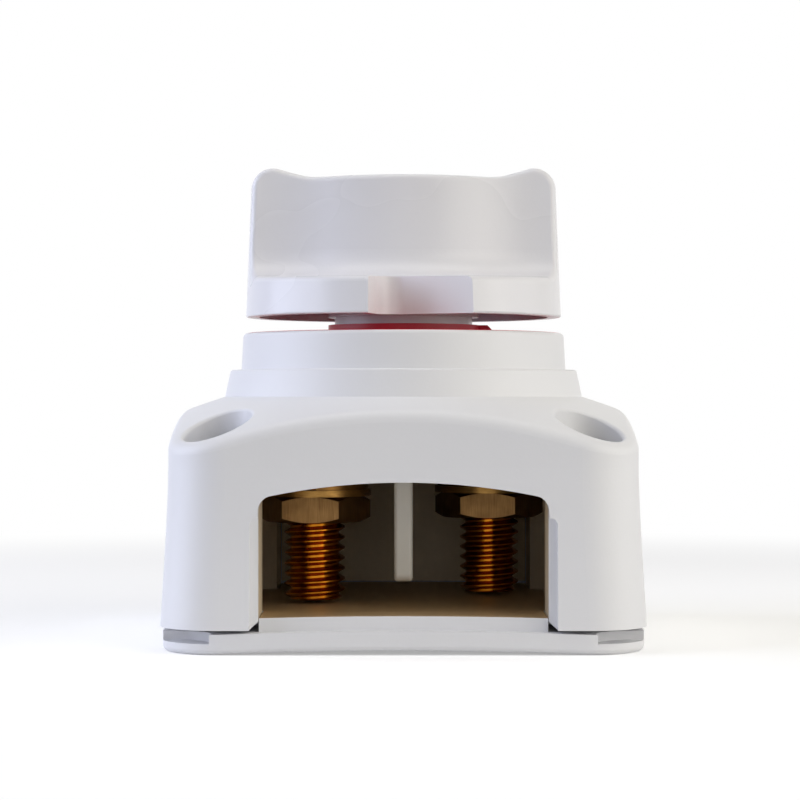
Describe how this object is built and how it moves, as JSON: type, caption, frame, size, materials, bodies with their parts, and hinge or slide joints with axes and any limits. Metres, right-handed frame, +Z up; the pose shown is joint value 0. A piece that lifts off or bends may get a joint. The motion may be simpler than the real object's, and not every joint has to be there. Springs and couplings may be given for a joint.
{
  "type": "battery disconnect switch",
  "caption": "Square white battery switch with a domed top and collar, a turning grip knob, and brass studs with nuts in an open cable chamber.",
  "frame": {"origin": "on the knob's axis, at the plane that the base plate's feet stand on", "axes": "+Z up along the knob's axis, -Y out of the open cable entry, +X to the right of it"},
  "size_m": [0.0716, 0.0716, 0.0731],
  "materials": {
    "housing_plastic": "satin moulded white",
    "base_plastic": "satin moulded white",
    "cover_plastic": "satin moulded white",
    "deck_plastic": "satin moulded white",
    "knob_plastic": "satin moulded white",
    "dial_film": "printed red film",
    "seal_rubber": "black moulded rubber",
    "rotor_plastic": "natural nylon",
    "zinc_steel": "bright zinc",
    "spring_steel": "oiled spring wire",
    "copper": "milled copper",
    "rivet_brass": "bright brass",
    "stud_brass": "turned and rolled brass",
    "nut_brass": "machined brass",
    "washer_brass": "stamped brass"
  },
  "bodies": {
    "switch_body": {"housing": "housing_plastic", "base_plate": "base_plastic", "rear_entry_cover": "cover_plastic", "dial_ring": "dial_film", "thrust_washer": "rotor_plastic", "contact_deck": "deck_plastic", "deck_screws": "zinc_steel", "return_spring": "spring_steel", "stud_left": "stud_brass", "stud_right": "stud_brass", "nut_left": "nut_brass", "nut_right": "nut_brass", "flat_washer_left": "washer_brass", "flat_washer_right": "washer_brass", "spring_washer_left": "washer_brass", "spring_washer_right": "washer_brass"},
    "turning_knob": {"knob": "knob_plastic", "cam_rotor": "rotor_plastic", "knob_screw": "zinc_steel", "shaft_seal": "seal_rubber"},
    "moving_contact": {"contact_carrier": "rotor_plastic", "contact_bridge": "copper", "bridge_rivets": "rivet_brass"}
  },
  "joints": [
    {"name": "knob_turn", "type": "hinge", "parent": "switch_body", "child": "turning_knob", "pos_m": [0, 0, 0.0498], "axis": [0, 0, -1], "range_deg": [0, 90]},
    {"name": "contact_slide", "type": "slide", "parent": "switch_body", "child": "moving_contact", "axis": [0, 0, -1], "range_m": [0, 0.0025], "deforming": ["return_spring"]}
  ],
  "couplings": [
    {"joint": "contact_slide", "follows": "knob_turn", "m_per_rad": 0.0015915}
  ]
}
